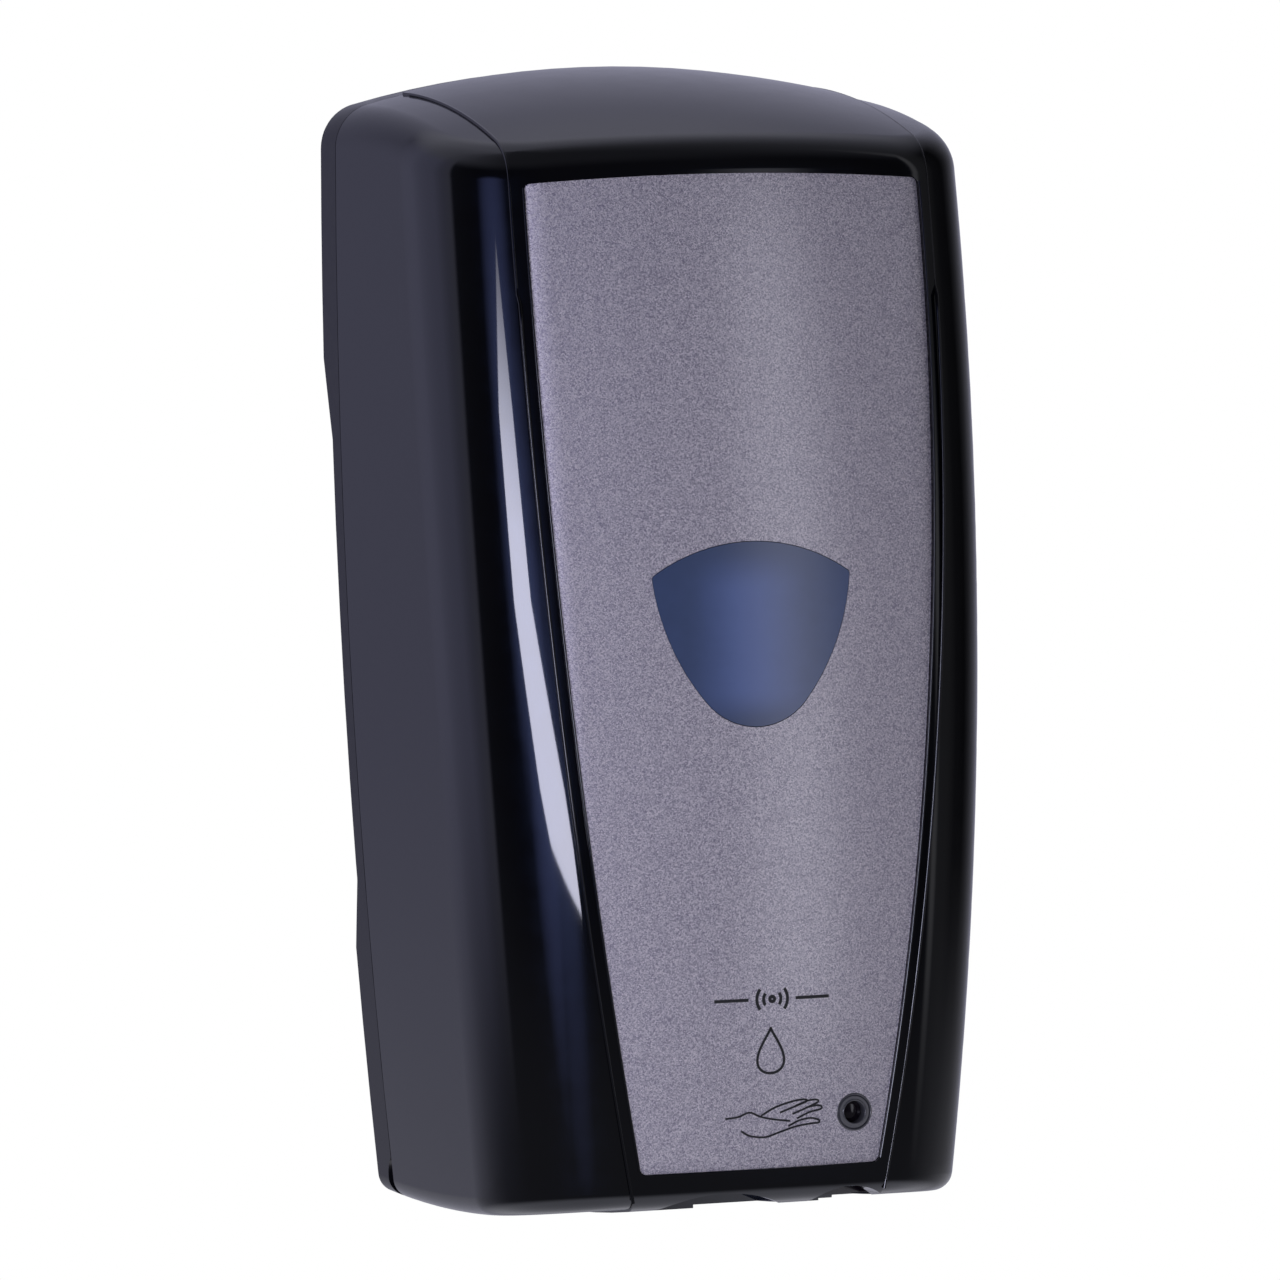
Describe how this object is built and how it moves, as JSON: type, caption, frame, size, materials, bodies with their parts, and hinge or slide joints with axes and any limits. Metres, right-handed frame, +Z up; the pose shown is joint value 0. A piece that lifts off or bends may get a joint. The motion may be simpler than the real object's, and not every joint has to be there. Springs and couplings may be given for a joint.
{
  "type": "wall mounted soap dispenser",
  "caption": "Touch-free wall mounted soap dispenser: black hinged cover, silver tapered face panel, shield sight window, reservoir, gear pump, nozzle and battery box.",
  "frame": {"origin": "on the wall plane, at the centre of the four wall screw holes", "axes": "+X to the right seen from the front, +Y into the wall, +Z up; the front faces -Y"},
  "size_m": [0.14, 0.0995, 0.2719],
  "materials": {
    "black_gloss": "glossy injection moulded ABS",
    "black_satin": "satin injection moulded ABS",
    "panel_silver": "metallic silver lacquer with a fine sparkle",
    "smoke_window": "translucent blue-grey polycarbonate",
    "bezel_grey": "dark grey moulded ring",
    "dark_lens": "infrared-passing dark lens",
    "steel": "bright drawn steel",
    "zinc_steel": "zinc plated screws",
    "lock_metal": "nickel plated lock",
    "brass": "plain brass",
    "nickel_leaf": "nickel plated contact leaf",
    "frame_grey": "moulded grey ABS",
    "tank_clear": "natural translucent polypropylene",
    "cap_blue": "moulded polypropylene",
    "silicone": "translucent silicone rubber",
    "seal_rubber": "black nitrile rubber",
    "cell_jacket": "printed cell jacket, plain",
    "battery_case": "moulded black ABS",
    "gear_nylon": "acetal",
    "pump_plastic": "glass filled polypropylene",
    "motor_can": "drawn steel can",
    "board_green": "solder resist on glass fibre",
    "component_black": "moulded components",
    "led_clear": "tinted epoxy lamp",
    "lead_red": "vinyl insulation"
  },
  "bodies": {
    "wall_unit": {"rear_housing": "black_satin", "hinge_pins": "steel", "chassis": "frame_grey", "battery_box": "battery_case", "batteries": "cell_jacket", "battery_contacts": "nickel_leaf", "compound_axle": "steel", "motor": "motor_can", "gearbox_housing": "frame_grey", "gearbox_cover": "frame_grey", "gearbox_screws": "zinc_steel", "pump_body": "pump_plastic", "pump_cover": "pump_plastic", "pump_screws": "zinc_steel", "inlet_tube": "silicone", "outlet_tube": "silicone", "nozzle": "pump_plastic", "outlet_valve": "silicone", "circuit_board": "board_green", "board_spacers": "gear_nylon", "board_screws": "zinc_steel", "board_parts": "component_black", "indicator_led": "led_clear", "power_switch": "component_black", "sensor_housing": "frame_grey", "sensor_pair": "dark_lens", "sensor_window": "dark_lens", "battery_leads": "lead_red", "motor_leads": "lead_red", "chassis_screws": "zinc_steel"},
    "cover": {"cover_shell": "black_gloss", "centre_band": "black_gloss", "face_panel": "panel_silver", "sight_window": "smoke_window", "indicator_bezel": "bezel_grey", "indicator_lens": "dark_lens"},
    "lock": {"lock_barrel": "lock_metal", "lock_cam": "zinc_steel"},
    "reservoir": {"reservoir": "tank_clear", "spigot_seal": "seal_rubber"},
    "filler_cap": {"filler_cap": "cap_blue", "cap_gasket": "silicone"},
    "battery_door": {"battery_door": "battery_case"},
    "switch_knob": {"switch_knob": "gear_nylon"},
    "pump_drive": {"drive_gear": "gear_nylon", "drive_shaft": "steel", "pump_gear": "gear_nylon"},
    "pump_idler": {"pump_idler": "gear_nylon", "idler_shaft": "steel"},
    "compound_gear": {"compound_gear": "gear_nylon"},
    "motor_rotor": {"motor_shaft": "steel", "motor_pinion": "brass"}
  },
  "joints": [
    {"name": "cover_hinge", "type": "hinge", "parent": "wall_unit", "child": "cover", "pos_m": [0, -0.014, -0.131], "axis": [1, 0, 0], "range_deg": [0, 90]},
    {"name": "lock_turn", "type": "hinge", "parent": "wall_unit", "child": "lock", "pos_m": [0, -0.0052, 0.12], "axis": [0, 0, -1], "range_deg": [0, 90]},
    {"name": "reservoir_lift", "type": "slide", "parent": "wall_unit", "child": "reservoir", "axis": [0, 0, 1], "range_m": [0, 0.009]},
    {"name": "filler_cap_turn", "type": "hinge", "parent": "reservoir", "child": "filler_cap", "pos_m": [0, -0.046, 0.106], "axis": [0, 0, 1], "range_deg": [0, 90]},
    {"name": "battery_door_slide", "type": "slide", "parent": "wall_unit", "child": "battery_door", "axis": [0, 0, 1], "range_m": [0, 0.009]},
    {"name": "switch_slide", "type": "slide", "parent": "wall_unit", "child": "switch_knob", "axis": [1, 0, 0], "range_m": [0, 0.003]},
    {"name": "pump_spin", "type": "hinge", "parent": "wall_unit", "child": "pump_drive", "pos_m": [0.006, -0.06, -0.092], "axis": [0, 1, 0], "continuous": true},
    {"name": "idler_spin", "type": "hinge", "parent": "wall_unit", "child": "pump_idler", "pos_m": [-0.006, -0.066, -0.092], "axis": [0, 1, 0], "continuous": true},
    {"name": "compound_spin", "type": "hinge", "parent": "wall_unit", "child": "compound_gear", "pos_m": [0.02123, -0.052, -0.0991], "axis": [0, 1, 0], "continuous": true},
    {"name": "motor_spin", "type": "hinge", "parent": "wall_unit", "child": "motor_rotor", "pos_m": [0.03701, -0.05, -0.09335], "axis": [0, 1, 0], "continuous": true}
  ],
  "couplings": [
    {"joint": "pump_spin", "follows": "compound_spin", "ratio": -0.4},
    {"joint": "idler_spin", "follows": "compound_spin", "ratio": 0.4},
    {"joint": "motor_spin", "follows": "compound_spin", "ratio": -3.2}
  ]
}
